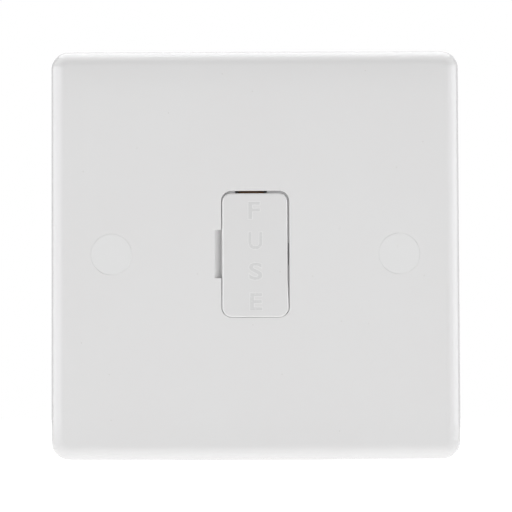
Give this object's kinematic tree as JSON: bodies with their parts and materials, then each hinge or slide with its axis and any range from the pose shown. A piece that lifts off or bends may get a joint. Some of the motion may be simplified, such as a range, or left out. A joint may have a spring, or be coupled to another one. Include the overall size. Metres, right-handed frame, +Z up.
{
  "type": "fused spur unit",
  "caption": "Square white moulded wall plate with a pull-out fuse carrier, push-in screw caps and a rear housing with screw terminals.",
  "frame": {"origin": "middle of the two fixing holes, on the wall plane that the plate's rim seats on", "axes": "+X to the right seen from the front, +Z up, -Y out of the wall towards the viewer"},
  "size_m": [0.086, 0.0229, 0.086],
  "materials": {
    "white_urea": "glossy moulded white urea",
    "housing_nylon": "matt moulded off-white nylon",
    "fuse_ceramic": "unglazed steatite",
    "nickel_plate": "bright nickel on brass",
    "spring_bronze": "rolled phosphor bronze strip",
    "brass": "machined brass",
    "zinc_steel": "bright zinc plated steel"
  },
  "bodies": {
    "plate": {"faceplate": "white_urea", "fuse_clip_load": "spring_bronze", "fuse_clip_supply": "spring_bronze", "housing_screws": "zinc_steel", "link_earth": "brass", "link_neutral": "brass", "rear_housing": "housing_nylon", "terminal_earth_load": "brass", "terminal_earth_supply": "brass", "terminal_live_load": "brass", "terminal_live_supply": "brass", "terminal_neutral_load": "brass", "terminal_neutral_supply": "brass", "terminal_screws": "zinc_steel"},
    "carrier": {"fuse_carrier": "white_urea", "fuse_body": "fuse_ceramic", "fuse_cap_upper": "nickel_plate", "fuse_cap_lower": "nickel_plate"},
    "cap_left": {"screw_cap_left": "white_urea"},
    "cap_right": {"screw_cap_right": "white_urea"}
  },
  "joints": [
    {"name": "fuse_carrier_pull", "type": "slide", "parent": "plate", "child": "carrier", "axis": [0, -1, 0], "range_m": [0, 0.0122]},
    {"name": "screw_cap_left_pull", "type": "slide", "parent": "plate", "child": "cap_left", "axis": [0, -1, 0], "range_m": [0, 0.01]},
    {"name": "screw_cap_right_pull", "type": "slide", "parent": "plate", "child": "cap_right", "axis": [0, -1, 0], "range_m": [0, 0.01]}
  ]
}
